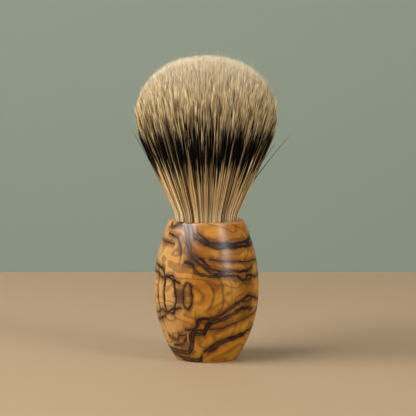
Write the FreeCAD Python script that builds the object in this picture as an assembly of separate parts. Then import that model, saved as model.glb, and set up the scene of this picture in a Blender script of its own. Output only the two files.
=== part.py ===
"""Shaving brush: a turned olive-wood handle with a bound, bulb-shaped hair knot set into its socket.

Millimetres, +Z up. The origin is the centre of the foot, on the surface that the brush stands on.
Everything is round about Z. The knot is cut into its three hair zones (pale roots, dark band, pale tips)
along spheres centred on the two points that the hair bends about, so that each zone can lean on the one
below it and stay clear of it.
"""

import FreeCAD
import Part

import math
import os

# Handle
HANDLE_HEIGHT = 52.4  # foot to rim
BELLY_RADIUS = 19.7
BELLY_HEIGHT = 27.0
FOOT_CORNER_RADIUS = 11.5  # radius of the barrel where it meets the foot, before the edge is rounded
RIM_CORNER_RADIUS = 13.95  # the same at the rim
FOOT_ROUNDING = 0.9
RIM_ROUNDING = 0.8
MOUTH_ROUNDING = 0.2

# Socket, bored with a flat-bottomed bit that leaves a small centre-point hole
KNOT_RADIUS = 11.5
GLUE_GAP = 0.4
SOCKET_RADIUS = KNOT_RADIUS + GLUE_GAP
SOCKET_DEPTH = 14.0
POINT_RADIUS = 1.6
POINT_DEPTH = 1.5
GLUE_BED = 1.0  # thickness of the set adhesive under the plug
GLUE_RISE = 8.6  # how far the adhesive rises beside the plug

# Resin plug cast round the hair ends
PLUG_HEIGHT = 9.0
PLUG_FLOOR = 1.8
PLUG_WALL = 0.9
PLUG_ROUNDING = 1.2

# Thread binding above the plug
BOUND_HAIR_RADIUS = 10.9
THREAD_DIAMETER = 0.4
THREAD_PITCH = 0.43
THREAD_TURNS = 5
THREAD_CLEARANCE = 0.02

# Hair
NECK_RADIUS = 11.75  # where the hair leaves the handle
FLARE_RADIUS = 9.4  # of the arc that turns the hair outwards from there
FLANK_LEAN = 25.0  # degrees from upright, of the straight side above that arc
BLOOM_RADIUS = 26.8  # widest part of the bulb
BLOOM_HEIGHT = 91.0
SHOULDER_RADIUS = 23.0  # of the arc that leads from the bloom to the flatter crown
TOP_HEIGHT = 114.6

# Where the hair bends
ROOT_PIVOT = 61.7  # 15 per cent of the free hair length above the rim
ROOT_SPHERE = 19.0
TIP_PIVOT = 76.0
TIP_SPHERE = 27.0
ZONE_GAP = 0.3

SOCKET_FLOOR = HANDLE_HEIGHT - SOCKET_DEPTH
PLUG_BOTTOM = SOCKET_FLOOR + GLUE_BED
PLUG_TOP = PLUG_BOTTOM + PLUG_HEIGHT
THREAD_BOTTOM = PLUG_TOP + THREAD_DIAMETER
THREAD_TOP = THREAD_BOTTOM + THREAD_TURNS * THREAD_PITCH + THREAD_DIAMETER

CENTRE = FreeCAD.Vector(0, 0, 0)
UP = FreeCAD.Vector(0, 0, 1)


def at(radius, height):
    """A point of an outline, in the plane that is turned about Z."""
    return FreeCAD.Vector(radius, 0, height)


def on_axis(height):
    return at(0, height)


def lines(points):
    return [Part.LineSegment(a, b).toShape() for a, b in zip(points, points[1:])]


def turned(edges):
    """The solid that a closed outline sweeps in one turn about Z."""
    face = Part.Face(Part.Wire(Part.__sortEdges__(edges)))
    return face.revolve(CENTRE, UP, 360)


def on_circle(centre, radius, angle):
    """The point of a circle at an angle measured outwards from straight up."""
    return centre + at(radius * math.sin(angle), radius * math.cos(angle))


def arc(centre, radius, start, end):
    """Part of a circle, between two angles measured outwards from straight up."""
    angles = (start, (start + end) / 2, end)
    return Part.Arc(*[on_circle(centre, radius, a) for a in angles]).toShape()


def side_arc(drop, rise, towards):
    """The barrel's side above (towards 1) or below (-1) the belly: it narrows by drop over rise."""
    radius = (rise**2 + drop**2) / (2 * drop)
    centre = at(BELLY_RADIUS - radius, BELLY_HEIGHT)
    turn = math.asin(rise / radius)
    return arc(centre, radius, math.pi / 2, math.pi / 2 - towards * turn)


def round_edges_at(solid, radius, height, rounding):
    """Rounds the circular edge of that radius and height."""
    chosen = [
        e
        for e in solid.Edges
        if isinstance(e.Curve, Part.Circle)
        and abs(e.Curve.Radius - radius) < 1e-3
        and abs(e.Curve.Center.z - height) < 1e-3
    ]
    return solid.makeFillet(rounding, chosen)


def make_socket(top):
    """The bored space in the handle, up to the given height, with the bit's centre-point hole."""
    bore = Part.makeCylinder(SOCKET_RADIUS, top - SOCKET_FLOOR, on_axis(SOCKET_FLOOR))
    point = Part.makeCone(0, POINT_RADIUS, POINT_DEPTH, on_axis(SOCKET_FLOOR - POINT_DEPTH))
    return bore.fuse(point).removeSplitter()


def make_handle():
    foot_corner = at(FOOT_CORNER_RADIUS, 0)
    rim_corner = at(RIM_CORNER_RADIUS, HANDLE_HEIGHT)
    outline = [
        side_arc(BELLY_RADIUS - FOOT_CORNER_RADIUS, BELLY_HEIGHT, -1),
        side_arc(BELLY_RADIUS - RIM_CORNER_RADIUS, HANDLE_HEIGHT - BELLY_HEIGHT, 1),
    ]
    outline += lines([foot_corner, CENTRE, on_axis(HANDLE_HEIGHT), rim_corner])
    blank = turned(outline)
    blank = round_edges_at(blank, FOOT_CORNER_RADIUS, 0, FOOT_ROUNDING)
    blank = round_edges_at(blank, RIM_CORNER_RADIUS, HANDLE_HEIGHT, RIM_ROUNDING)
    bored = blank.cut(make_socket(HANDLE_HEIGHT))
    return round_edges_at(bored, SOCKET_RADIUS, HANDLE_HEIGHT, MOUTH_ROUNDING)


def make_plug_blank():
    blank = Part.makeCylinder(KNOT_RADIUS, PLUG_HEIGHT, on_axis(PLUG_BOTTOM))
    return round_edges_at(blank, KNOT_RADIUS, PLUG_BOTTOM, PLUG_ROUNDING)


def make_plug():
    """The cast resin cup that holds the hair ends."""
    ends = Part.makeCylinder(
        KNOT_RADIUS - PLUG_WALL, PLUG_HEIGHT - PLUG_FLOOR, on_axis(PLUG_BOTTOM + PLUG_FLOOR)
    )
    return make_plug_blank().cut(ends)


def make_adhesive():
    """The set adhesive: the socket filled to GLUE_RISE, less the plug."""
    return make_socket(PLUG_BOTTOM + GLUE_RISE).cut(make_plug_blank())


def make_thread():
    """One long thread wound round the hair just above the plug."""
    wind_radius = BOUND_HAIR_RADIUS + THREAD_DIAMETER / 2 + THREAD_CLEARANCE
    helix = Part.makeHelix(THREAD_PITCH, THREAD_TURNS * THREAD_PITCH, wind_radius)
    helix.translate(on_axis(THREAD_BOTTOM))
    start = at(wind_radius, THREAD_BOTTOM)
    section = Part.Wire(Part.makeCircle(THREAD_DIAMETER / 2, start, FreeCAD.Vector(0, 1, 0)))
    return Part.Wire(helix.Edges).makePipeShell([section], True, True)


def make_flank():
    """The side of the free hair: an arc out from the rim, a straight stretch and an arc into the bloom."""
    lean = math.radians(FLANK_LEAN)
    outwards = at(math.cos(lean), -math.sin(lean))  # square to the straight stretch
    flare_centre = at(NECK_RADIUS + FLARE_RADIUS, HANDLE_HEIGHT)
    flare_end = flare_centre - outwards * FLARE_RADIUS
    bloom = at(BLOOM_RADIUS, BLOOM_HEIGHT)
    side_radius = (flare_end - bloom).dot(outwards) / (1 - math.cos(lean))  # no corner at the join
    side_centre = bloom - at(side_radius, 0)
    side_start = side_centre + outwards * side_radius
    flare = arc(flare_centre, FLARE_RADIUS, -math.pi / 2, lean - math.pi / 2)
    side = arc(side_centre, side_radius, math.pi / 2 + lean, math.pi / 2)
    return [flare, *lines([flare_end, side_start]), side]


def make_dome():
    """The arc from the bloom over the shoulder, and the crown arc that it runs into, centred on the axis."""
    rise = TOP_HEIGHT - BLOOM_HEIGHT
    offset = BLOOM_RADIUS - SHOULDER_RADIUS
    crown_radius = (offset**2 + rise**2 - SHOULDER_RADIUS**2) / (2 * (rise - SHOULDER_RADIUS))
    join = math.asin(offset / (crown_radius - SHOULDER_RADIUS))
    shoulder = arc(at(offset, BLOOM_HEIGHT), SHOULDER_RADIUS, math.pi / 2, join)
    crown = arc(on_axis(TOP_HEIGHT - crown_radius), crown_radius, join, 0)
    return [shoulder, crown]


def make_knot():
    """All the hair as one solid, from the ends in the plug to the tips."""
    ends_radius = KNOT_RADIUS - PLUG_WALL
    ends_bottom = PLUG_BOTTOM + PLUG_FLOOR
    root_points = [
        on_axis(TOP_HEIGHT),
        on_axis(ends_bottom),
        at(ends_radius, ends_bottom),
        at(ends_radius, PLUG_TOP),
        at(BOUND_HAIR_RADIUS, PLUG_TOP),
        at(BOUND_HAIR_RADIUS, THREAD_TOP),
        at(NECK_RADIUS, HANDLE_HEIGHT),
    ]
    return turned(lines(root_points) + make_flank() + make_dome())


def ball(height, radius):
    return Part.makeSphere(radius, on_axis(height))


def below(height):
    """Everything at the knot that is lower than height."""
    return Part.makeCylinder(2 * BLOOM_RADIUS, height, CENTRE)


def make_hair_zones():
    """Root, band and tip zones, each leaning on a ball of the one below it."""
    knot = make_knot()
    roots = knot.common(ball(ROOT_PIVOT, ROOT_SPHERE).fuse(below(ROOT_PIVOT)))
    above_roots = knot.cut(ball(ROOT_PIVOT, ROOT_SPHERE + ZONE_GAP).fuse(below(ROOT_PIVOT)))
    band = above_roots.common(ball(TIP_PIVOT, TIP_SPHERE))
    tips = above_roots.cut(ball(TIP_PIVOT, TIP_SPHERE + ZONE_GAP).fuse(below(TIP_PIVOT)))
    return {"hair_root_zone": roots, "hair_band_zone": band, "hair_tip_zone": tips}


def main():
    os.makedirs("parts", exist_ok=True)
    made = {
        "handle": make_handle(),
        "setting_adhesive": make_adhesive(),
        "knot_plug": make_plug(),
        "binding_thread": make_thread(),
        **make_hair_zones(),
    }
    for name, shape in made.items():
        solids = shape.Solids
        print(name, "solids", len(solids), "valid", shape.isValid(), "mm3", round(shape.Volume, 2))
        kept = solids[0] if len(solids) == 1 else Part.makeCompound(solids)
        kept.exportStep(f"parts/{name}.step")


main()
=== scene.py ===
"""Looks of the shaving brush: figured wood under gloss, and a knot of some thirty thousand hairs.

Metres, +Z up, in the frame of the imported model. The node materials work in millimetres and degrees.
"""

import math

import bpy
import numpy as np
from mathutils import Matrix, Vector
from mathutils.bvhtree import BVHTree


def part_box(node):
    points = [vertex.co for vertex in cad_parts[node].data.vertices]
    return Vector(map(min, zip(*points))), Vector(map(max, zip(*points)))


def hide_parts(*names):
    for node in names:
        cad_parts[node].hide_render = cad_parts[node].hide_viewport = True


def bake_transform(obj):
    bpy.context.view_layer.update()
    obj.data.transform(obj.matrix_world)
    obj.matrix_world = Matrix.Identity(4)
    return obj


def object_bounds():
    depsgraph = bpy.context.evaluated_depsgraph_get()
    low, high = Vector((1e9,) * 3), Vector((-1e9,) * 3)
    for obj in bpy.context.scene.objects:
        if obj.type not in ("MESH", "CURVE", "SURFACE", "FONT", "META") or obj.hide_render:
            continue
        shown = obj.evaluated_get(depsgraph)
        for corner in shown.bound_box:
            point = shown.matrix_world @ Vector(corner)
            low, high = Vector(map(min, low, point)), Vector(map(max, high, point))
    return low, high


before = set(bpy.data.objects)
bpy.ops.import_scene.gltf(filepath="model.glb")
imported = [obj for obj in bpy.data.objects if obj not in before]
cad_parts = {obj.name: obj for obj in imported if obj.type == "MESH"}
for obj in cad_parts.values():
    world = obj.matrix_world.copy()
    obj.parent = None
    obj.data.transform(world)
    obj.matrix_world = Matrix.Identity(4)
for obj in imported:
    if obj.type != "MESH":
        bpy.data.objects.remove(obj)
cad_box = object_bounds()

MM = 0.001
TOP = cad_box[1].z
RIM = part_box("handle")[1].z
HAIR_NODES = ("hair_root_zone", "hair_band_zone", "hair_tip_zone")

# The bundle
SEED = 41
HAIR_COUNT = 30000
TUFT_COUNT = 6000
TRESS_COUNT = 620
SECTORS = 8
GOLDEN_ANGLE = math.pi * (3 - math.sqrt(5))
HAIR_START = RIM - 1.0 * MM  # inside the handle's mouth
CUT = RIM + 25.6 * MM  # lower and upper hair meshes meet here, above one bend and below the other
ROOT_BEND = (RIM + 0.6 * MM, RIM + 23.6 * MM)  # where the hair turns with hair_root_bend
FAN_FROM = RIM + 29.0 * MM  # above it the hairs go on spreading, inside the dome that their tips make
FAN_END_SLOPE = 0.24
FAN_SETTLE = 9.0 * MM
WAIST = RIM + 35.6 * MM  # just under the bloom, where the bundle is a little slimmer than the CAD
WAIST_DEPTH = 0.6 * MM
WAIST_REACH = 3.4 * MM
OUTER_SHARE = 0.82  # hairs nearer the axis than this start inside the core
INNER_LENGTH = 18.0 * MM
INNER_RAISED = 8.0 * MM  # the dark band of the innermost hairs is this much higher

# Tufts and tresses
HAIR_JITTER, TUFT_JITTER, TRESS_JITTER = 0.006, 0.008, 0.016  # of places, in shares of the bundle's radius
ROOT_GATHER = 0.20  # how far a hair is drawn to the middle of its tuft, at the root
GATHER_GAIN = 0.50  # added to it a third of the way up
GATHER_LOSS = 0.34  # and taken off it again towards the tips
TRESS_PULL = 0.15  # how far a tuft is drawn to the middle of its tress
KIND_BY_TUFT, KIND_BY_TRESS = 0.72, 0.74  # draws below these take the tuft's or the tress's kind
TUFT_SHIFT, TRESS_SHIFT, OWN_SHIFT = 1.9 * MM, 1.3 * MM, 1.3 * MM  # how far a dark band strays up or down

# One hair
HAIR_RADIUS = 0.098 * MM
THINNEST, THICKEST = 0.7, 1.25  # times that radius
ROOT_THICKNESS = 0.6  # at the handle, of the hair's own radius
ROOT_TAPER = 20 * MM
TIP_THICKNESS = 0.25
TIP_TAPER = 9.0 * MM
USUAL_SHORTFALL, MOST_SHORTFALL = 0.4 * MM, 2.5 * MM  # of a tip under the dome
TUFT_SHORTFALL = 0.5 * MM  # the most that a whole tuft adds to it
LONGEST_PAST_DOME = 0.25 * MM  # how far the longest tips, but for the flyaways, reach past the CAD's dome
END_RING = 0.15 * MM  # a ring this near each cut end keeps the shading of the cap off the hair
FLYAWAY_SHARE = 0.035
FLYAWAY_REACH = 2.6 * MM  # the most that they stand past the dome
FLYAWAY_THICKNESS = 0.6
DRIFT = 0.010  # of a hair from its place by the time it reaches the top, in shares of the radius
WANDERER_SHARE, WANDERER_DRIFT = 0.07, 3.5  # a few hairs drift this many times as far
WAVE = 0.06 * MM
HALF_WAVE = 11 * MM  # along the hair

# The solid mass of hair inside
CORE_SHARE = 0.87
CORE_SHARE_TOP = 0.80
CORE_SHARE_RIM = 0.93
CORE_DEPTH = 6.0 * MM  # of the core's top under the tips
CORE_SIDES = 256
CORE_ROW = 1.0 * MM
CUP_FILL, BOUND_FILL = 10.55 * MM, 10.85 * MM  # its radius inside the plug and inside the thread
CORE_CLEARANCE = 0.05 * MM  # over the plug's floor, and over its edge before the core widens
WIDENED = 0.15 * MM  # over that edge, where it is as wide as the thread lets it be
FINE_GROOVES, FINE_DEPTH = 97, 0.010  # number round, and depth as a share of the radius
BROAD_GROOVES, BROAD_DEPTH = 41, 0.012

# The hair's UV map: across is the kind of hair, up is height
KINDS = 128
PALE_KINDS = 17  # the first of all the kinds: pale right through the band
BROWN_KINDS = 16  # the last of them: brown from the root up
PALE_SHARE = 0.38  # of the hairs that don't take their kind from a tuft or a tress
UV_LOW, UV_HIGH = 40.0 * MM, 120.0 * MM


# ---------------------------------------------------------------- the knot's outline, read from the CAD

def hair_tree():
    """All the CAD hair as one searchable surface."""
    corners, faces = [], []
    for name in HAIR_NODES:
        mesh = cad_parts[name].data
        first = len(corners)
        corners += [v.co.copy() for v in mesh.vertices]
        faces += [[first + i for i in p.vertices] for p in mesh.polygons]
    return BVHTree.FromPolygons(corners, faces)


def read_outline():
    """Heights, and the hair's outer radius at each."""
    tree = hair_tree()
    row = 0.25 * MM
    heights = np.arange(HAIR_START - 1.5 * MM, TOP - 0.05 * MM, row)
    outside = 2 * cad_box[1].x
    hits = [tree.ray_cast(Vector((outside, 0, h)), Vector((-1, 0, 0)))[0].x for h in heights]
    radii = np.array(hits)
    near = 4  # rows to each side, which is a millimetre: bridges the gaps between the zones
    between = (radii[: -2 * near] + radii[2 * near :]) / 2
    radii[near:-near] = np.maximum(radii[near:-near], between - 0.05 * MM)
    return np.append(heights, TOP), np.append(radii, 0.0)


OUTLINE_HEIGHTS, OUTLINE_RADII = read_outline()


def outline_radius(height):
    waist = WAIST_DEPTH * np.exp(-(((height - WAIST) / WAIST_REACH) ** 2))
    return np.interp(height, OUTLINE_HEIGHTS, OUTLINE_RADII) - waist


def fan_radius(height):
    """Radius of the outermost hair at a height: the outline, then on outwards at an easing slope."""
    run = 4 * MM
    start_slope = (outline_radius(FAN_FROM) - outline_radius(FAN_FROM - run)) / run
    above = np.maximum(height - FAN_FROM, 0)
    easing = (start_slope - FAN_END_SLOPE) * FAN_SETTLE * (1 - np.exp(-above / FAN_SETTLE))
    return outline_radius(np.minimum(height, FAN_FROM)) + FAN_END_SLOPE * above + easing


def tip_height(share):
    """Height at which a hair that keeps to that share of the fan meets the dome."""
    shares = np.linspace(0, 1, 201)
    heights = np.linspace(FAN_FROM, TOP, 400)
    inside = shares[:, None] * fan_radius(heights)[None, :] <= outline_radius(heights)[None, :] + 1e-6
    last = inside.shape[1] - 1 - np.argmax(inside[:, ::-1], axis=1)
    return np.interp(share, shares, heights[last])


# ---------------------------------------------------------------- hairs

def spiral(count, rng, jitter):
    """Points spread evenly over the unit disc."""
    order = (np.arange(count) + 0.5) / count
    angle = np.arange(count) * GOLDEN_ANGLE
    reach = np.sqrt(order)
    points = np.stack([reach * np.cos(angle), reach * np.sin(angle)], 1)
    points += rng.normal(0, jitter, points.shape)
    length = np.linalg.norm(points, axis=1, keepdims=True)
    return points / np.maximum(length, 1)


def nearest(points, centres):
    return np.array([np.argmin(((centres - p) ** 2).sum(1)) for p in points])


def make_hairs(rng):
    """Every hair's place in the bundle, its tuft and tress, and what sets its colour."""
    place = spiral(HAIR_COUNT, rng, HAIR_JITTER)
    tufts = spiral(TUFT_COUNT, rng, TUFT_JITTER)
    tresses = spiral(TRESS_COUNT, rng, TRESS_JITTER)
    tuft = nearest(place, tufts)
    tress = nearest(tufts, tresses)[tuft]
    share = np.linalg.norm(place, axis=1)
    flyaway = rng.random(HAIR_COUNT) < FLYAWAY_SHARE
    short = np.minimum(rng.exponential(USUAL_SHORTFALL, HAIR_COUNT), MOST_SHORTFALL) - LONGEST_PAST_DOME
    short = short + rng.random(TUFT_COUNT)[tuft] * TUFT_SHORTFALL
    short = np.where(flyaway, -rng.random(HAIR_COUNT) * FLYAWAY_REACH, short)
    wanders = np.where(rng.random(HAIR_COUNT) < WANDERER_SHARE, WANDERER_DRIFT, 1.0)[:, None]
    band_shift = rng.normal(0, TUFT_SHIFT, TUFT_COUNT)[tuft]
    band_shift = band_shift + rng.normal(0, TRESS_SHIFT, TRESS_COUNT)[tress]
    pale_through = rng.random(HAIR_COUNT) < PALE_SHARE
    own_kind = rng.integers(PALE_KINDS, KINDS, HAIR_COUNT)
    own_kind = np.where(pale_through, rng.integers(0, PALE_KINDS, HAIR_COUNT), own_kind)
    tuft_kind = rng.integers(PALE_KINDS, KINDS, TUFT_COUNT)[tuft]
    tress_kind = rng.integers(PALE_KINDS, KINDS, TRESS_COUNT)[tress]
    drawn = rng.random(HAIR_COUNT)
    kind = np.where(drawn < KIND_BY_TRESS, tress_kind, own_kind)
    kind = np.where(drawn < KIND_BY_TUFT, tuft_kind, kind)
    return {
        "place": place,
        "share": share,
        "tuft_place": tufts[tuft],
        "tress_place": tresses[tress],
        "drift": rng.normal(0, DRIFT, place.shape) * wanders,
        "wave": rng.normal(0, WAVE, place.shape),
        "phase": rng.random(HAIR_COUNT) * math.tau,
        "tip": tip_height(share) - short,
        "shift": band_shift + rng.normal(0, OWN_SHIFT, HAIR_COUNT) + INNER_RAISED * (1 - share),
        "kind": kind,
        "thickness": HAIR_RADIUS
        * rng.uniform(THINNEST, THICKEST, HAIR_COUNT)
        * np.where(flyaway, FLYAWAY_THICKNESS, 1),
        "twist": rng.random(HAIR_COUNT) * math.tau,
    }


def pick(hairs, chosen):
    return {name: values[chosen] for name, values in hairs.items()}


def hair_paths(hairs, heights):
    """The line of each hair at its own row of heights: (hairs, heights, 3)."""
    rise = np.clip((heights - RIM) / (TOP - RIM), 0, 1)[..., None]
    opened = np.clip(rise * 3, 0, 1)  # over the first third of the way up
    loosened = np.clip((rise - 0.6) / 0.4, 0, 1)  # over the last two fifths
    gathered = ROOT_GATHER + GATHER_GAIN * opened - GATHER_LOSS * loosened
    own, tuft, tress = (hairs[name][:, None, :] for name in ("place", "tuft_place", "tress_place"))
    place = own + (tuft - own) * gathered + (tress - tuft) * TRESS_PULL * opened
    place = place + hairs["drift"][:, None, :] * rise
    flat = place * fan_radius(heights)[..., None]
    swing = np.sin(heights / HALF_WAVE * math.pi + hairs["phase"][:, None])[..., None] * rise
    flat = flat + hairs["wave"][:, None, :] * swing
    return np.concatenate([flat, heights[..., None]], axis=2)


def hair_radii(hairs, heights):
    """Thinner at the root, thickest in the band, fine at the tip."""
    root = np.clip((heights - HAIR_START) / ROOT_TAPER, 0, 1)
    tip = np.clip((hairs["tip"][:, None] - heights) / TIP_TAPER, 0, 1)
    thinned = ROOT_THICKNESS + (1 - ROOT_THICKNESS) * root
    return hairs["thickness"][:, None] * thinned * (TIP_THICKNESS + (1 - TIP_THICKNESS) * tip)


def tube_corners(paths, radii, twist):
    """Three corners round each point of each path."""
    along = np.gradient(paths, axis=1)
    along /= np.linalg.norm(along, axis=2, keepdims=True)
    side = np.array([1.0, 0, 0]) - along * along[..., :1]
    side /= np.linalg.norm(side, axis=2, keepdims=True)
    other = np.cross(along, side)
    rings = []
    for corner in range(3):
        angle = (twist + corner * math.tau / 3)[:, None, None]
        rings.append(paths + radii[..., None] * (side * np.cos(angle) + other * np.sin(angle)))
    return np.stack(rings, axis=2)


def tube_faces(rings, pointed):
    """Faces of one closed three-sided tube, and which of them are shaded smooth."""
    sides = []
    for low in range(0, 3 * (rings - 1), 3):
        for a in range(3):
            b = (a + 1) % 3
            sides.append((low + a, low + b, low + 3 + b, low + 3 + a))
    last = 3 * (rings - 1)
    end = [(last, last + 1, last + 2)]
    if pointed:
        end = [(last + a, last + (a + 1) % 3, last + 3) for a in range(3)]
    return sides + [(0, 2, 1)] + end, [True] * len(sides) + [False] + [pointed] * len(end)


def add_object(name, mesh, material):
    made = bpy.data.objects.new(name, mesh)
    bpy.context.scene.collection.objects.link(made)
    mesh.materials.append(material)
    return made


def add_tubes(name, paths, radii, twist, pointed, material):
    """A mesh of one tube per path, with its face pattern. A pointed tube ends in one point."""
    count, rings = radii.shape
    rings -= pointed
    corners = tube_corners(paths, radii, twist)[:, :rings].reshape(count, rings * 3, 3)
    if pointed:
        corners = np.concatenate([corners, paths[:, -1:, :]], axis=1)
    pattern, smooth = tube_faces(rings, pointed)
    order = np.array([i for face in pattern for i in face])
    sizes = np.array([len(face) for face in pattern])
    starts = np.concatenate([[0], np.cumsum(sizes)[:-1]])
    tubes = np.arange(count)[:, None]
    mesh = bpy.data.meshes.new(name)
    mesh.vertices.add(count * corners.shape[1])
    mesh.vertices.foreach_set("co", corners.astype(np.float32).ravel())
    mesh.loops.add(count * len(order))
    mesh.loops.foreach_set("vertex_index", (order + corners.shape[1] * tubes).astype(np.int32).ravel())
    mesh.polygons.add(count * len(sizes))
    mesh.polygons.foreach_set("loop_start", (starts + sizes.sum() * tubes).astype(np.int32).ravel())
    mesh.polygons.foreach_set("use_smooth", np.tile(smooth, count))
    mesh.update(calc_edges=True)
    return add_object(name, mesh, material), pattern, corners[:, order, 2]


def add_hair_mesh(name, hairs, heights, pointed, material):
    """Hairs, with the UV map that their colour is read from.

    Across is the column of the hair's kind. Up is height, moved by the hair's own shift, so that
    every hair has its dark band in a place of its own.
    """
    paths, radii = hair_paths(hairs, heights), hair_radii(hairs, heights)
    piece, pattern, height = add_tubes(name, paths, radii, hairs["twist"], pointed, material)
    left, right = 0.15, 0.85  # of the kind's column, clear of its neighbours
    across = np.array([left if k in (0, 3) else right for face in pattern for k in range(len(face))])
    u = (hairs["kind"][:, None] + across[None, :]) / KINDS
    v = (height - hairs["shift"][:, None] - UV_LOW) / (UV_HIGH - UV_LOW)
    v = np.clip(v, 0.001, 0.999)  # inside the map
    layer = piece.data.uv_layers.new(name="OFBake")
    layer.data.foreach_set("uv", np.stack([u, v], 2).astype(np.float32).ravel())
    return piece


def sector_of(hairs):
    angle = np.arctan2(hairs["place"][:, 1], hairs["place"][:, 0]) % math.tau
    return (angle / math.tau * SECTORS).astype(int) % SECTORS


def bend_low(piece):
    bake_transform(piece)


def bend_high(piece):
    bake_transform(piece)


def add_lower_hair(hairs, sector, material):
    """The outer hairs from the handle's mouth up to the cut, closely ringed where they flare."""
    chosen = pick(hairs, (sector_of(hairs) == sector) & (hairs["share"] > OUTER_SHARE))
    flare = RIM + np.array([0.0, 2.0, 4.0]) * MM
    straight = np.linspace(flare[-1], CUT, 5)[1:]
    heights = np.concatenate([[HAIR_START], flare, straight[:-1], [CUT - END_RING, CUT]])
    rows = np.tile(heights, (len(chosen["share"]), 1))
    bend_low(add_hair_mesh(f"hair_low_{sector + 1}", chosen, rows, False, material))


def add_upper_hair(hairs, sector, material):
    """The outer hairs from the cut, and the inner ones from inside the core, up to their tips."""
    chosen = pick(hairs, sector_of(hairs) == sector)
    outer = chosen["share"] > OUTER_SHARE
    start = np.where(outer, CUT, np.maximum(CUT, chosen["tip"] - INNER_LENGTH))[:, None]
    first = start + END_RING
    parts = np.array([0.26, 0.50, 0.72, 0.88, 1.0])  # of the way to the tip, closer where the hair thins
    rows = np.concatenate([start, first, first + (chosen["tip"][:, None] - first) * parts], axis=1)
    bend_high(add_hair_mesh(f"hair_high_{sector + 1}", chosen, rows, True, material))


# ---------------------------------------------------------------- the mass of hair inside

def core_profile():
    """(radius, height) up the outside of the solid mass of hair under the visible ones."""
    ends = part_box("hair_root_zone")[0].z + CORE_CLEARANCE
    plug_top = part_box("knot_plug")[1].z
    thread_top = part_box("binding_thread")[1].z
    points = [(0.0, ends), (CUP_FILL, ends), (CUP_FILL, plug_top + CORE_CLEARANCE)]
    points += [(BOUND_FILL, plug_top + WIDENED), (BOUND_FILL, thread_top)]
    levels = [RIM, RIM + 12 * MM, CUT, CUT + 14 * MM]
    shares = [CORE_SHARE_RIM, CORE_SHARE, CORE_SHARE, CORE_SHARE_TOP]
    for height in np.arange(ROOT_BEND[0], TOP - CORE_DEPTH, CORE_ROW):
        share = np.interp(height, levels, shares)
        lifted = outline_radius(height + CORE_DEPTH)
        radius = share * fan_radius(height)
        points.append((min(radius, lifted) if height > CUT + 4 * MM else radius, height))
    return points + [(0.0, TOP - CORE_DEPTH)]


def grooved(radius, height, angles):
    """Shallow grooves between tresses."""
    if height < RIM:
        return np.full(len(angles), radius)
    fine_sway = 3 * np.sin(angles * 5 + height * 90)  # the grooves wind a little as they rise
    broad_sway = 2 * np.sin(angles * 3 - height * 60)
    fine = np.sin(angles * FINE_GROOVES + fine_sway)
    broad = np.sin(angles * BROAD_GROOVES + broad_sway)
    return radius * (1 + FINE_DEPTH * fine + BROAD_DEPTH * broad)


def add_core(name, profile, material):
    """A closed, grooved solid turned from a profile whose ends are on the axis."""
    angles = np.arange(CORE_SIDES) * math.tau / CORE_SIDES
    rows = profile[1:-1]
    corners = [(0, 0, profile[0][1])]
    for radius, height in rows:
        ring = zip(grooved(radius, height, angles), angles)
        corners += [(r * math.cos(a), r * math.sin(a), height) for r, a in ring]
    corners.append((0, 0, profile[-1][1]))
    faces, places = [], []
    for k in range(CORE_SIDES):
        n = (k + 1) % CORE_SIDES
        faces.append((0, 1 + n, 1 + k))
        places += [(k + 0.5, 0), (k + 1, 1), (k, 1)]
        for row in range(len(rows) - 1):
            low, high = 1 + row * CORE_SIDES, 1 + (row + 1) * CORE_SIDES
            faces.append((low + k, low + n, high + n, high + k))
            places += [(k, row + 1), (k + 1, row + 1), (k + 1, row + 2), (k, row + 2)]
        low = 1 + (len(rows) - 1) * CORE_SIDES
        faces.append((low + k, low + n, len(corners) - 1))
        places += [(k, len(rows)), (k + 1, len(rows)), (k + 0.5, len(rows) + 1)]
    mesh = bpy.data.meshes.new(name)
    mesh.from_pydata(corners, [], faces)
    mesh.polygons.foreach_set("use_smooth", [len(f) == 4 for f in faces])
    layer = mesh.uv_layers.new(name="OFBake")
    uv = np.array(places) / (CORE_SIDES, len(rows) + 1)
    layer.data.foreach_set("uv", uv.astype(np.float32).ravel())
    return add_object(name, mesh, material)


def add_cores(material):
    profile = core_profile()
    middle = profile[1:-1]
    at_cut = float(np.interp(CUT, [h for r, h in middle], [r for r, h in middle]))
    below = [p for p in profile if p[1] < CUT - END_RING] + [(at_cut, CUT), (0.0, CUT)]
    above = [(0.0, CUT), (at_cut, CUT)] + [p for p in profile if p[1] > CUT + END_RING]
    low = add_core("hair_mass_low", below, material)
    bend_low(low)
    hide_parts("hair_root_zone")
    high = add_core("hair_mass_high", above, material)
    bend_high(high)
    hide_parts("hair_band_zone", "hair_tip_zone")


# ---------------------------------------------------------------- stray guard hairs

STRAYS = (  # degrees round from the front, then millimetres above the rim, length and degrees of lean
    (85, 14, 23, 36),
    (72, 18, 14, 33),
    (-84, 11, 26, 26),
    (-70, 17, 13, 28),
    (170, 14, 20, 34),
)
STRAY_RADIUS = 0.22 * MM
STRAY_RINGS = 10
STRAY_BOW = 0.05
STRAY_SUNK = 0.3 * MM  # its foot, under the bundle's surface
STRAY_TAPER = 0.7  # of its radius lost by the tip


def add_strays(material):
    """Long dark hairs that stand off the bundle and bow a little outwards."""
    along = np.linspace(0, 1, STRAY_RINGS)
    paths = []
    for around, start, length, lean in STRAYS:
        turn, lean = math.radians(around), math.radians(lean)
        height = RIM + start * MM
        away = length * MM * (math.sin(lean) * along + STRAY_BOW * along**2)
        out = outline_radius(height) - STRAY_SUNK + away
        up = height + length * MM * math.cos(lean) * along
        paths.append(np.stack([out * math.sin(turn), -out * math.cos(turn), up], axis=1))
    radii = np.tile(STRAY_RADIUS * (1 - STRAY_TAPER * along), (len(paths), 1))
    piece = add_tubes("stray_hairs", np.array(paths), radii, np.zeros(len(paths)), True, material)[0]
    bend_low(piece)


# ---------------------------------------------------------------- material helpers

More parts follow.
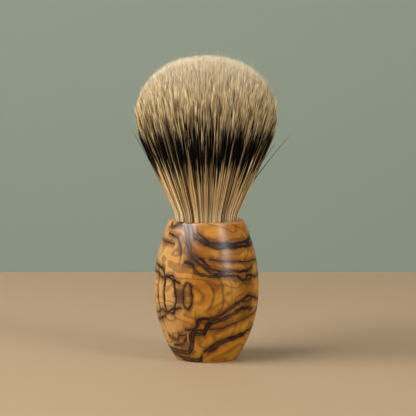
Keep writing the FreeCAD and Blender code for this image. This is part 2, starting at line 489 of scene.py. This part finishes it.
def new_material(name):
    material = bpy.data.materials.new(name)
    material.use_nodes = True
    return material, material.node_tree


def put(tree, kind, inputs=(), **settings):
    """Adds a node. Inputs are (socket, value or output) pairs."""
    made = tree.nodes.new(kind)
    for name, value in settings.items():
        setattr(made, name, value)
    for socket, value in inputs:
        if isinstance(value, bpy.types.NodeSocket):
            tree.links.new(value, made.inputs[socket])
        else:
            made.inputs[socket].default_value = value
    return made


def calc(tree, operation, *values):
    """One Math node's result."""
    return put(tree, "ShaderNodeMath", enumerate(values), operation=operation).outputs[0]


def less(tree, value):
    """What is left of one."""
    return calc(tree, "SUBTRACT", 1.0, value)


def times(tree, value, *others):
    for other in others:
        value = calc(tree, "MULTIPLY", value, other)
    return value


def step_up(tree, value, low, high):
    """0 below low, 1 above high, smooth between."""
    inputs = [("Value", value), ("From Min", low), ("From Max", high)]
    return put(tree, "ShaderNodeMapRange", inputs, interpolation_type="SMOOTHSTEP").outputs["Result"]


def spread(tree, value, low, high):
    """0 to 1 stretched to low to high."""
    inputs = [("Value", value), ("To Min", low), ("To Max", high)]
    return put(tree, "ShaderNodeMapRange", inputs).outputs["Result"]


def blend_colours(tree, factor, first, second, kind="MIX"):
    node = put(tree, "ShaderNodeMix", (), data_type="RGBA", blend_type=kind)
    sockets = [s for s in node.inputs if s.type == "RGBA"]
    for socket, value in zip([node.inputs[0], *sockets], [factor, first, second]):
        if isinstance(value, bpy.types.NodeSocket):
            tree.links.new(value, socket)
        else:
            socket.default_value = value
    return next(s for s in node.outputs if s.type == "RGBA")


def noise(tree, where, scale, detail=2.0, roughness=0.5):
    inputs = [("Vector", where), ("Scale", scale), ("Detail", detail), ("Roughness", roughness)]
    return put(tree, "ShaderNodeTexNoise", inputs).outputs[0]


def draw(tree, value, seed):
    """The same random number from 0 to 1 for the same value."""
    inputs = [("W", calc(tree, "ADD", value, seed))]
    return put(tree, "ShaderNodeTexWhiteNoise", inputs, noise_dimensions="1D").outputs["Value"]


def colour(red, green, blue):
    """An sRGB colour given from 0 to 255, as the linear values that nodes use."""
    shares = [c / 255 for c in (red, green, blue)]
    return (*[c / 12.92 if c <= 0.04045 else ((c + 0.055) / 1.055) ** 2.4 for c in shares], 1.0)


def shader(tree):
    return tree.nodes["Principled BSDF"]


def finish(tree, base, roughness, specular=0.5):
    tree.links.new(base, shader(tree).inputs["Base Color"])
    shader(tree).inputs["Roughness"].default_value = roughness
    shader(tree).inputs["Specular IOR Level"].default_value = specular


def millimetres(tree):
    """Place on the piece in the row frame, in millimetres."""
    place = put(tree, "ShaderNodeTexCoord").outputs["Object"]
    return put(tree, "ShaderNodeVectorMath", [(0, place), ("Scale", 1000.0)], operation="SCALE").outputs[0]


def stretched(tree, where, x, y, z):
    return put(tree, "ShaderNodeVectorMath", [(0, where), (1, (x, y, z))], operation="MULTIPLY").outputs[0]


def add_bump(tree, height, distance, strength):
    bump = put(tree, "ShaderNodeBump", [("Height", height), ("Distance", distance), ("Strength", strength)])
    tree.links.new(bump.outputs[0], shader(tree).inputs["Normal"])


def azimuth(tree, x, y):
    """Degrees round Z, from -180 to 180."""
    return calc(tree, "DEGREES", calc(tree, "ARCTAN2", x, y))


# ---------------------------------------------------------------- hair materials

CREAM_ROOT = colour(252, 236, 200)
TAN = colour(236, 211, 160)
CREAM_BLOOM = colour(246, 222, 172)  # where the bundle is widest
CREAM_TIP = colour(214, 197, 168)
BROWN_ROOT = colour(92, 62, 34)
DARK_BAND = colour(6, 4, 3)
DARK_TONE = (0.24, 0.16, 0.07, 1)  # the tones multiply the pale colours, from the darkest kind of hair
LIGHT_TONE = (1.14, 1.11, 1.05, 1)  # to the lightest
NO_TONE = (1, 1, 1, 1)
TAN_HEIGHTS = (51.0, 61.0)  # millimetres up over which each colour takes over from the one before
BLOOM_HEIGHTS = (78.0, 88.0)
TIP_HEIGHTS = (90.0, 109.0)
EVEN_HEIGHTS = (96.0, 112.0)  # and over which the tones fade
EVENED = 0.85  # how far they do
DARK_HEIGHTS = (60.0, 71.0)
BROWN_LOWERED = 26.0  # millimetres by which the dark starts lower in the brown kinds: at their root
PALE_THROUGH = 0.94  # how much of the dark the pale kinds go without
HAIR_ROUGHNESS, HAIR_SPECULAR = 0.55, 0.12
BAND_START_SEED, BAND_END_SEED, TONE_SEED = 5.5, 9.5, 41.5
DEPTH_ROOT_SHADED = (colour(90, 64, 38), colour(172, 140, 98))  # in the depth between the hairs, dark and light: painted shade, darker than the hairs themselves
DEPTH_TIP_SHADED = (colour(92, 68, 42), colour(176, 146, 104))
DEPTH_BAND_STARTS = (62.0, 70.0)  # millimetres up
DEPTH_BAND_ENDS = (82.0, 94.0)
DEPTH_RAGGED = 8.0  # millimetres up or down
GUARD_HAIR = (colour(14, 12, 8), colour(46, 41, 29))


def make_hair_material():
    """Pale root, near-black band and cream tip; every kind of hair has edges and a tone of its own."""
    material, tree = new_material("natural_hair")
    uv = put(tree, "ShaderNodeUVMap", uv_map="OFBake").outputs[0]
    across, up = put(tree, "ShaderNodeSeparateXYZ", [(0, uv)]).outputs[:2]
    kind = calc(tree, "FLOOR", times(tree, across, float(KINDS)))
    height = spread(tree, up, UV_LOW / MM, UV_HIGH / MM)
    pale_kind = calc(tree, "LESS_THAN", kind, float(PALE_KINDS))
    brown_kind = calc(tree, "GREATER_THAN", kind, float(KINDS - BROWN_KINDS) - 0.5)

    def edge(most, few, crowding, seed, lowered):
        """A soft edge of the band at a height drawn for the kind.

        Heights are in millimetres. The more the crowding, the more kinds are near the first of them.
        """
        drawn = calc(tree, "POWER", draw(tree, kind, seed), crowding)
        soft = spread(tree, draw(tree, kind, seed + 1), 0.8, 2.6)  # millimetres to each side
        middle = calc(tree, "SUBTRACT", spread(tree, drawn, most, few), lowered)
        return step_up(tree, height, calc(tree, "SUBTRACT", middle, soft), calc(tree, "ADD", middle, soft))

    lowered = times(tree, brown_kind, BROWN_LOWERED)
    into_band = edge(most=73.5, few=66.0, crowding=1.6, seed=BAND_START_SEED, lowered=lowered)
    out_of_band = edge(most=84.6, few=102.0, crowding=2.6, seed=BAND_END_SEED, lowered=0.0)
    spared = times(tree, pale_kind, PALE_THROUGH)
    band = times(tree, into_band, less(tree, out_of_band), less(tree, spared))
    pale = blend_colours(tree, step_up(tree, height, *TAN_HEIGHTS), CREAM_ROOT, TAN)
    pale = blend_colours(tree, step_up(tree, height, *BLOOM_HEIGHTS), pale, CREAM_BLOOM)
    pale = blend_colours(tree, step_up(tree, height, *TIP_HEIGHTS), pale, CREAM_TIP)
    light = step_up(tree, draw(tree, kind, TONE_SEED), 0.0, 0.55)  # nearly half the kinds are the lightest
    tone = blend_colours(tree, light, DARK_TONE, LIGHT_TONE)
    evened = times(tree, step_up(tree, height, *EVEN_HEIGHTS), EVENED)
    pale = blend_colours(tree, 1.0, pale, blend_colours(tree, evened, tone, NO_TONE), "MULTIPLY")
    dark = blend_colours(tree, step_up(tree, height, *DARK_HEIGHTS), BROWN_ROOT, DARK_BAND)
    finish(tree, blend_colours(tree, band, pale, dark), HAIR_ROUGHNESS, HAIR_SPECULAR)
    return material


def make_shaded_mass_material():
    """What shows in the depth between the hairs: the same zones, darker with painted shade, and streaked."""
    material, tree = new_material("hair_in_depth_shaded")
    where = millimetres(tree)
    streak = noise(tree, stretched(tree, where, 1.8, 1.8, 0.08), 1.0, 3.0, 0.6)  # long up and down
    up = put(tree, "ShaderNodeSeparateXYZ", [(0, where)]).outputs[2]
    height = calc(tree, "ADD", up, spread(tree, streak, -DEPTH_RAGGED, DEPTH_RAGGED))
    # the root and tip colours are painted shade, darker than the hairs
    root, tip = blend_colours(tree, streak, *DEPTH_ROOT_SHADED), blend_colours(tree, streak, *DEPTH_TIP_SHADED)
    base = blend_colours(tree, step_up(tree, height, *DEPTH_BAND_STARTS), root, DARK_BAND)
    base = blend_colours(tree, step_up(tree, height, *DEPTH_BAND_ENDS), base, tip)
    finish(tree, base, 0.8)
    add_bump(tree, streak, 0.4 * MM, 0.8)
    return material


def make_stray_material():
    material, tree = new_material("dark_guard_hair")
    streak = noise(tree, millimetres(tree), 0.6)
    finish(tree, blend_colours(tree, streak, *GUARD_HAIR), 0.5)
    return material


# ---------------------------------------------------------------- wood

# painted light: the lit wood, at the left side and on the rim's face
WOOD_STRAW_LIT = colour(208, 158, 92)
WOOD_HONEY = colour(200, 137, 42)
WOOD_GOLD = colour(162, 95, 8)
# painted light: the wood lit low down and at the right
WOOD_AMBER_LIT = colour(208, 144, 42)
WOOD_BROWN = colour(72, 35, 4)
WOOD_DUSK = colour(60, 28, 6)  # the browner stretches of a vein
WOOD_VEIN = colour(26, 9, 2)
WOOD_ROUGHNESS, WOOD_SPECULAR = 0.5, 0.06  # under the gloss
SHINE_ROUGHNESS = 0.26
RIM_SHINE, SIDE_SHINE = 0.05, 0.4  # the rim's face is dull
RIM_FACE = (51.9, 52.3)  # millimetres up, from the side to the face
VEIN_EDGES = (0.60, 0.90)  # of its width, between full strength and none
VEIN_HEART = (0.1, 0.45)  # the same, between its middle and its edge
STAIN_REACH = 2.6  # millimetres to each side of a vein

# Dark veins, drawn one by one: (degrees round from the front, millimetres up) points, then the width
FRONT_VEINS = (
    # the broad band at the upper right, and the strands that run into it
    ([(-17, 52), (-13, 49), (-6, 47.5), (2, 46), (10, 45), (60, 45), (85, 47)], 0.55),
    ([(-22, 50), (-15, 47.5), (0, 45), (12, 44), (60, 43.5), (90, 45)], 0.8),
    ([(4, 44.8), (20, 44.2), (55, 44.2), (72, 45)], 1.7),
    # the forked pair below it
    ([(-21, 42), (-10, 40.5), (0, 37.5), (10, 35.5), (25, 35), (50, 34.5), (60, 35.5), (68, 38)], 0.6),
    ([(-20, 41), (-12, 39), (0, 36), (10, 34), (22, 35)], 0.7),
    ([(0, 39.5), (30, 38.5), (55, 38), (85, 38)], 0.3),
    # the stepped line
    ([(-29, 46), (-27, 38.5), (-18, 38), (-11, 35), (12, 33.3), (25, 33.5), (44, 31.5)], 0.6),
    ([(36, 32.2), (44, 31.5), (54, 33), (66, 32), (88, 33)], 0.5),
    ([(42, 31.8), (52, 31.2), (60, 32.6)], 0.3),
    ([(-64, 48.5), (-50, 47.5), (-42, 47), (-36, 44.5), (-30, 40)], 0.4),
    ([(-68, 52.4), (-56, 50.5), (-46, 52), (-36, 51.5)], 0.8),
    ([(-80, 45.5), (-58, 45), (-42, 44.5)], 0.25),
    # the rising pair at the lower right
    ([(-12, 16.5), (-7, 17.3), (3, 17.5), (14, 18.5), (28, 21.5), (42, 24), (53, 25.2)], 0.75),
    ([(46, 24.5), (53, 25.2), (64, 24.3), (88, 22)], 0.5),
    ([(40, 23.8), (50, 23.3), (62, 24.6)], 0.3),
    ([(-16, 11.5), (-7, 11.5), (0, 14), (8, 16.2), (16, 17), (30, 19), (45, 20.8), (64, 20)], 0.8),
    ([(-14, 12.5), (-6, 12.5), (4, 15.5), (14, 17.3)], 1.2),
    ([(0, 13.6), (15, 13.6), (30, 15), (60, 17.5), (88, 20)], 0.25),
    # the tangle at the lower left
    ([(-27, 13), (-15, 13.4), (-11, 16.5), (-8, 17.3)], 0.5),
    ([(-24, 8.5), (-19, 11.5), (-14, 12.5), (-9, 16)], 0.7),
    ([(-54, 6.5), (-38, 6.8), (-31, 8), (-26, 11), (-25, 13.2)], 0.45),
    ([(-60, 10), (-42, 8.6), (-36, 10.5), (-26, 11)], 0.3),
    ([(-80, 5), (-56, 4), (-32, 4), (-24, 5.6), (-19, 8.5), (-15, 12), (-9, 14.5)], 1.1),
    ([(-75, 3), (-58, 2.4), (-38, 1.3), (-16, 1), (-8, 2), (-4, 4.5)], 1.1),
    # the pair below
    ([(-8, 4), (1, 5.4), (11, 7.5), (22, 9.2), (35, 10), (52, 11), (92, 13.5)], 0.7),
    ([(0, 4.2), (14, 6.4), (24, 8.4), (40, 9.6), (62, 11)], 0.9),
)
BOOK_HEIGHT = 26.0  # the loops at the left are mirrored about it
BOOK_VEINS = (
    ([(-85, 36.5), (-68, 36), (-56, 34.5), (-50, 32.5), (-42, 33), (-37, 31.5), (-27, 30.5)], 0.5),
    ([(-85, 34), (-70, 33.5), (-58, 32), (-50, 32.5), (-41, 31.5), (-35, 29.5)], 0.45),
)
UPRIGHT_VEINS = (  # the same the other way round: (millimetres up, degrees) points
    ([(18, -49), (22, -52), (26, -53), (30, -52), (34, -49)], 0.6),
    ([(19.5, -39), (23, -36), (26, -35.5), (29, -36), (32.5, -39)], 0.5),
    ([(16, -70), (21, -65), (26, -67), (31, -65), (36, -70)], 0.4),
    ([(41, -19), (44, -24), (48, -29), (52, -36)], 0.25),
    ([(41, -17), (45, -21), (48, -24), (52, -29)], 0.25),
    ([(46, -15), (49, -19), (52, -23)], 0.25),
)
BACK_WAVES = (  # millimetres up, swing, waves per turn, phase in degrees, width
    (48.5, 1.6, 3, 40, 0.5),
    (44.5, 1.8, 4, 200, 1.3),
    (38.0, 1.6, 5, 80, 0.5),
    (33.0, 1.2, 6, 10, 0.5),
    (22.0, 1.3, 6, 190, 0.5),
    (16.5, 1.8, 5, 250, 0.6),
    (10.0, 2.0, 4, 30, 1.2),
    (4.5, 1.2, 3, 140, 0.6),
)
SMUDGES_AND_SHADE = (  # broad brown ones beside the veins, and one of painted shade at the right, the same way round, then how strong each is
    ([(36, -15), (41, -19), (47, -24), (53, -30)], 6.5, 0.90),
    ([(8, -20), (12, -15), (17, -9)], 3.8, 0.90),
    # painted shade: darkens the right side at mid height
    ([(16, 44), (26, 50), (36, 46)], 13.0, 0.55),
)
EYE_AT = (-21.0, 26.0)
EYE_RADIUS = 1.35
EYE_TALL = 2.1
EYE_STRAIGHT = 2.0  # millimetres of straight side above and below its middle
EYE_LINE = 0.5  # millimetres thick
HALO = (0.3, 1.3)  # the shade round the eye, millimetres from its line
PATCH_AT = (-31.0, 26.0)  # the dark patch beside the eye
PATCH_TALL = 1.5
PATCH_EDGE = (1.3, 2.9)
RINGS_AT = (-5.0, 26.0)
RINGS_TALL = 1.4
RING_RATE = 1.9  # radians per millimetre
RINGS_EDGE = (7.0, 14.0)
BROAD_LINES, THIN_LINES = 64.0, 150.0  # how closely the growth lines follow each other
MM_PER_DEGREE = math.radians(18.0)  # round the handle, near its middle radius


def book_matched(veins):
    for points, width in veins:
        yield points, width
        yield [(around, 2 * BOOK_HEIGHT - up) for around, up in points], width


def back_veins():
    """Waves across the back, as vein points from one side of it to the other."""
    for level, swing, waves, phase, width in BACK_WAVES:
        points = []
        for turn in range(-100, 101, 8):
            angle = math.radians(waves * turn + phase)
            wave = 0.7 * math.sin(angle) + 0.5 * math.sin(2.3 * angle + level)  # two that don't keep step
            points.append((turn, level + swing * wave))
        yield points, width


def vein(tree, along, across, points, width, across_per_along, ragged, heart, edges=VEIN_EDGES):
    """How much of a vein, and of the stain beside it, is at a place: 1 on its line, 0 off it.

    points are (along, across). across_per_along turns a step along into the units of across, so that a
    steep stretch is as thick as a level one. ragged widens and narrows it. heart is how dark its middle
    is beside its edges. edges are the shares of its width between which it fades out.
    """
    starts, ends = points[0][0], points[-1][0]
    low = min(p[1] for p in points) - 1
    high = max(p[1] for p in points) + 1
    length, height = ends - starts, high - low
    step = 0.01  # of the length, to each side, to find the slope
    fade = 0.05 * length  # at both ends

    def line(offset):
        inputs = [("Value", along), ("From Min", starts), ("From Max", ends)]
        share = put(tree, "ShaderNodeMapRange", inputs).outputs["Result"]
        node = put(tree, "ShaderNodeFloatCurve", [("Value", calc(tree, "ADD", share, offset))])
        curve = node.mapping.curves[0]
        while len(curve.points) < len(points):
            curve.points.new(0.5, 0.5)
        for point, (a, b) in zip(curve.points, points):
            point.location = ((a - starts) / length, (b - low) / height)
            point.handle_type = "AUTO_CLAMPED"
        node.mapping.update()
        return spread(tree, node.outputs[0], low, high)

    rise = calc(tree, "SUBTRACT", line(step), line(-step))
    slope = calc(tree, "DIVIDE", rise, 2 * step * length * across_per_along)
    steep = calc(tree, "SQRT", calc(tree, "ADD", 1.0, times(tree, slope, slope)))
    gap = calc(tree, "ABSOLUTE", calc(tree, "SUBTRACT", across, line(0.0)))
    away = calc(tree, "DIVIDE", gap, steep)
    reach = calc(tree, "DIVIDE", away, times(tree, ragged, width))
    inside = less(tree, step_up(tree, reach, *edges))
    inside = times(tree, inside, spread(tree, step_up(tree, reach, *VEIN_HEART), heart, 1.0))
    fade_in = step_up(tree, along, starts, starts + fade)
    fade_out = step_up(tree, along, ends - fade, ends)
    shown = calc(tree, "SUBTRACT", fade_in, fade_out)
    stain = less(tree, step_up(tree, away, 0.0, STAIN_REACH))
    return times(tree, inside, shown), times(tree, stain, shown)


def length_of(tree, a, b):
    return calc(tree, "SQRT", calc(tree, "ADD", times(tree, a, a), times(tree, b, b)))


def ring_distance(tree, front, height, centre, tall, straight=0.0):
    """Millimetres from a centre in the figure, across, and how fast that grows with distance.

    tall is how much longer the rings are up and down, beyond their straight sides.
    """
    side = times(tree, calc(tree, "SUBTRACT", front, centre[0]), MM_PER_DEGREE)
    up = calc(tree, "ABSOLUTE", calc(tree, "SUBTRACT", height, centre[1]))
    up = calc(tree, "DIVIDE", calc(tree, "MAXIMUM", calc(tree, "SUBTRACT", up, straight), 0.0), tall)
    reach = length_of(tree, side, up)
    return reach, calc(tree, "DIVIDE", length_of(tree, side, calc(tree, "DIVIDE", up, tall)), reach)


def all_veins(tree, front, back, height, ragged, heart):
    """The darkest vein and the darkest stain at each place."""
    level = (MM_PER_DEGREE, ragged, heart)
    upright = (1 / MM_PER_DEGREE, ragged, heart)
    drawn = [vein(tree, front, height, points, width, *level) for points, width in FRONT_VEINS]
    drawn += [vein(tree, front, height, points, width, *level) for points, width in book_matched(BOOK_VEINS)]
    drawn += [vein(tree, back, height, points, width, *level) for points, width in back_veins()]
    for points, width in UPRIGHT_VEINS:
        drawn.append(vein(tree, height, front, points, width / MM_PER_DEGREE, *upright))
    lines, stains = drawn[0]
    for line, stain in drawn[1:]:
        lines = calc(tree, "MAXIMUM", lines, line)
        stains = calc(tree, "MAXIMUM", stains, stain)
    return lines, stains


def all_smudges_and_shade(tree, front, height, ragged):
    """Each smudge, and the painted shade at the right, dark along its middle and fading out to its width,
    with its strength.
    """
    for points, width, strength in SMUDGES_AND_SHADE:
        shown = (width / MM_PER_DEGREE, 1 / MM_PER_DEGREE, ragged)
        yield vein(tree, height, front, points, *shown, heart=1.0, edges=(0.0, 0.5))[0], strength


def eye_marks(tree, front, height):
    """The eye's line, the fill inside it, the shade round it and the dark patch beside it."""
    reach, growth = ring_distance(tree, front, height, EYE_AT, EYE_TALL, EYE_STRAIGHT)
    gap = calc(tree, "DIVIDE", calc(tree, "ABSOLUTE", calc(tree, "SUBTRACT", reach, EYE_RADIUS)), growth)
    line = less(tree, step_up(tree, gap, 0.3 * EYE_LINE, 0.7 * EYE_LINE))
    fill = less(tree, step_up(tree, reach, 0.6, EYE_RADIUS))
    halo = less(tree, step_up(tree, gap, *HALO))
    patch = ring_distance(tree, front, height, PATCH_AT, PATCH_TALL)[0]
    return line, fill, halo, less(tree, step_up(tree, patch, *PATCH_EDGE))


def rings_beside_eye(tree, front, height):
    """Rings round a centre beside the eye, on the side away from it."""
    reach = ring_distance(tree, front, height, RINGS_AT, RINGS_TALL)[0]
    ring = step_up(tree, calc(tree, "SINE", times(tree, reach, RING_RATE)), 0.3, 1.0)
    away_from_eye = step_up(tree, front, -8.0, 2.0)
    return times(tree, ring, less(tree, step_up(tree, reach, *RINGS_EDGE)), away_from_eye)


def growth_lines(tree, where):
    """Broad and thin growth lines: the contours of a slow field."""
    field = noise(tree, stretched(tree, where, 0.42, 1.0, 1.0), 0.075, 2.0, 0.45)
    broad = step_up(tree, calc(tree, "SINE", times(tree, field, BROAD_LINES)), 0.2, 1.0)
    return broad, step_up(tree, calc(tree, "SINE", times(tree, field, THIN_LINES)), 0.4, 1.0)


def lit_wood_ground(tree, where, x, z):
    """The wood's patchy gold, with painted light: amber low down and at the right, straw at the left and the
    rim.
    """
    patches = noise(tree, stretched(tree, where, 0.7, 1.0, 1.0), 0.11, 3.0)
    base = blend_colours(tree, step_up(tree, patches, 0.38, 0.62), WOOD_HONEY, WOOD_GOLD)
    # where light is painted: low down, at the right, at the left and on the rim's face
    low = less(tree, step_up(tree, z, 5.0, 20.0))
    right, left = step_up(tree, x, 4.0, 16.0), less(tree, step_up(tree, x, -16.0, -4.0))
    rim = step_up(tree, z, 51.5, 52.1)
    # painted light: amber, lighter low down
    base = blend_colours(tree, times(tree, low, 0.7), base, WOOD_AMBER_LIT)
    # painted light: amber, lighter and warmer at the right
    base = blend_colours(tree, times(tree, right, 0.6), base, WOOD_AMBER_LIT)
    # painted light: straw at the left, where the window lamp falls
    base = blend_colours(tree, left, base, WOOD_STRAW_LIT)
    # painted light: the rim's face lighter, where light falls on it from above
    return blend_colours(tree, times(tree, rim, 0.6), base, WOOD_STRAW_LIT)


def make_wood():
    """Golden olive wood: soft grain, rings and an eye, and dark veins, under a clear gloss coat."""
    material, tree = new_material("olive_wood")
    where = millimetres(tree)
    x, y, z = put(tree, "ShaderNodeSeparateXYZ", [(0, where)]).outputs
    # the figure wanders by up to these many millimetres, sideways and up or down
    sway = spread(tree, noise(tree, where, 0.28, 2.0, 0.5), -0.9, 0.9)
    lift = spread(tree, noise(tree, stretched(tree, where, 1, 1, 0.7), 0.55, 2.0, 0.5), -0.6, 0.6)
    height = calc(tree, "ADD", z, lift)
    swayed = times(tree, sway, 1 / MM_PER_DEGREE)
    front = calc(tree, "ADD", azimuth(tree, x, times(tree, y, -1.0)), swayed)
    back = calc(tree, "ADD", azimuth(tree, times(tree, x, -1.0), y), swayed)
    ragged = spread(tree, noise(tree, where, 0.3), 0.45, 1.7)
    heart = spread(tree, step_up(tree, noise(tree, where, 0.22), 0.38, 0.58), 0.20, 1.0)  # pale in places
    lines, stains = all_veins(tree, front, back, height, ragged, heart)

    eye_line, eye_fill, halo, patch = eye_marks(tree, front, height)
    lines = calc(tree, "MAXIMUM", lines, eye_line)
    contour, thin = growth_lines(tree, where)
    fine = noise(tree, stretched(tree, where, 1.0, 1.0, 0.16), 2.2, 4.0, 0.6)

    base = lit_wood_ground(tree, where, x, z)
    shades = [(contour, 0.46), (thin, 0.12), (rings_beside_eye(tree, front, height), 0.60), (fine, 0.34)]
    shades += [(stains, 0.76), (patch, 0.85), (eye_fill, 0.40), (halo, 0.75)]
    # the smudges, and the painted shade at the right
    shades += all_smudges_and_shade(tree, front, height, ragged)
    for amount, strength in shades:
        base = blend_colours(tree, times(tree, amount, strength), base, WOOD_BROWN)
    dusk = step_up(tree, noise(tree, where, 0.16, 2.0, 0.6), 0.50, 0.66)
    dark = blend_colours(tree, dusk, WOOD_VEIN, WOOD_DUSK)
    finish(tree, blend_colours(tree, lines, base, dark), WOOD_ROUGHNESS, WOOD_SPECULAR)
    glossy = spread(tree, less(tree, step_up(tree, z, *RIM_FACE)), RIM_SHINE, SIDE_SHINE)
    tree.links.new(glossy, shader(tree).inputs["Coat Weight"])
    shader(tree).inputs["Coat Roughness"].default_value = SHINE_ROUGHNESS
    add_bump(tree, fine, 0.03 * MM, 0.4)
    return material


# ---------------------------------------------------------------- inside the socket

AMBER = (colour(216, 188, 132), colour(190, 154, 92))
RESIN = (colour(206, 184, 148), colour(170, 142, 104))
WAXED = (colour(188, 178, 158), colour(226, 220, 206))


def make_speckled(name, light, dark, scale, roughness, pits):
    """A cast or set material, clouded and finely pitted. Depth of the pits is in metres."""
    material, tree = new_material(name)
    cloud = noise(tree, millimetres(tree), scale, 4.0, 0.6)
    finish(tree, blend_colours(tree, step_up(tree, cloud, 0.35, 0.65), light, dark), roughness)
    add_bump(tree, cloud, pits, 0.6)
    return material


def make_thread():
    """Waxed thread: plies that turn round it."""
    material, tree = new_material("waxed_thread")
    x, y, z = put(tree, "ShaderNodeSeparateXYZ", [(0, millimetres(tree))]).outputs
    ply = calc(tree, "SINE", calc(tree, "ADD", times(tree, azimuth(tree, x, y), 1.6), times(tree, z, 16.0)))
    finish(tree, blend_colours(tree, step_up(tree, ply, -1.0, 1.0), *WAXED), 0.7)
    add_bump(tree, ply, 0.05 * MM, 0.7)
    return material


def set_material(node, material):
    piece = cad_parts[node]
    piece.data.materials.clear()
    piece.data.materials.append(material)


# ---------------------------------------------------------------- stage, light and camera

FLOOR_SHADE = colour(161, 133, 100)
WALL_SHADE = colour(168, 177, 157)
WORLD_LOW = (0.125, 0.137, 0.131, 1)  # near the horizon
WORLD_HIGH = (0.58, 0.60, 0.59, 1)  # overhead
LAMP_DISTANCE = 0.9
LAMPS = (  # name, degrees round, degrees up, width, height, watts, watts of its gleam
    ("window", -66, 43, 0.72, 0.42, 10.5, 22.0),
    ("door", 48, 26, 0.24, 0.7, 3.8, 5.7),
)


def add_plane(name, corners, shade, roughness):
    mesh = bpy.data.meshes.new(name)
    mesh.from_pydata(corners, [], [(0, 1, 2, 3)])
    material, tree = new_material(name + "_surface")
    shader(tree).inputs["Base Color"].default_value = shade
    shader(tree).inputs["Roughness"].default_value = roughness
    add_object(name, mesh, material)


def add_stage():
    """A table whose far edge shows behind the brush, and a wall beyond it."""
    side, near, far, wall, low, high = 3.0, -3.0, 0.265, 1.0, -1, 2.0
    corners = [(-side, near, 0), (side, near, 0), (side, far, 0), (-side, far, 0)]
    add_plane("floor", corners, FLOOR_SHADE, 0.6)
    corners = [(-side, wall, low), (side, wall, low), (side, wall, high), (-side, wall, high)]
    add_plane("backdrop", corners, WALL_SHADE, 0.9)


def add_softbox(name, around, up, width, height, watts, gleam=False):
    """An area light that faces the brush. 0 degrees round is the camera's side, 90 its right.

    A gleam adds no diffuse light and shows only in reflections.
    """
    light = bpy.data.lights.new(name, "AREA")
    light.shape = "RECTANGLE"
    light.size = width
    light.size_y = height
    light.energy = watts
    lamp = bpy.data.objects.new(name, light)
    bpy.context.scene.collection.objects.link(lamp)
    turn, tilt = math.radians(around), math.radians(up)
    towards = Vector((math.sin(turn) * math.cos(tilt), -math.cos(turn) * math.cos(tilt), math.sin(tilt)))
    lamp.location = Vector((0, 0, TOP / 2)) + towards * LAMP_DISTANCE
    lamp.rotation_mode = "QUATERNION"
    lamp.rotation_quaternion = towards.to_track_quat("Z", "Y")
    lamp.visible_diffuse = not gleam


def add_world():
    """A dim room that is brighter overhead."""
    world = bpy.data.worlds.new("studio")
    world.use_nodes = True
    tree = world.node_tree
    direction = put(tree, "ShaderNodeTexCoord").outputs["Generated"]
    up = put(tree, "ShaderNodeSeparateXYZ", [(0, direction)]).outputs[2]
    shade = blend_colours(tree, step_up(tree, up, 0.0, 0.9), WORLD_LOW, WORLD_HIGH)
    tree.links.new(shade, tree.nodes["Background"].inputs[0])
    bpy.context.scene.world = world


def add_light():
    for name, *place, watts, gleam_watts in LAMPS:
        add_softbox(name, *place, watts)
        add_softbox(name + "_gleam", *place, gleam_watts, gleam=True)
    add_world()
    bpy.context.scene.view_settings.view_transform = "Standard"


def add_camera():
    """About three quarters of a metre away and a little above the brush, looking slightly down."""
    data = bpy.data.cameras.new("camera")
    data.sensor_width = 36.0
    data.lens = 173.3
    data.shift_x = 0.0036
    data.clip_start = 0.05
    camera = bpy.data.objects.new("camera", data)
    bpy.context.scene.collection.objects.link(camera)
    camera.location = (0, -0.749, 0.125)
    camera.rotation_euler = (math.radians(90 - 5.2), 0, 0)
    bpy.context.scene.camera = camera


def main():
    hairs = make_hairs(np.random.default_rng(SEED))
    hair = make_hair_material()
    add_cores(make_shaded_mass_material())
    for sector in range(SECTORS):
        add_lower_hair(hairs, sector, hair)
        add_upper_hair(hairs, sector, hair)
    add_strays(make_stray_material())
    set_material("handle", make_wood())
    set_material("setting_adhesive", make_speckled("amber_adhesive", *AMBER, 0.6, 0.2, 0.05 * MM))
    set_material("knot_plug", make_speckled("cast_resin", *RESIN, 1.1, 0.55, 0.1 * MM))
    set_material("binding_thread", make_thread())
    add_stage()
    add_light()
    add_camera()


main()
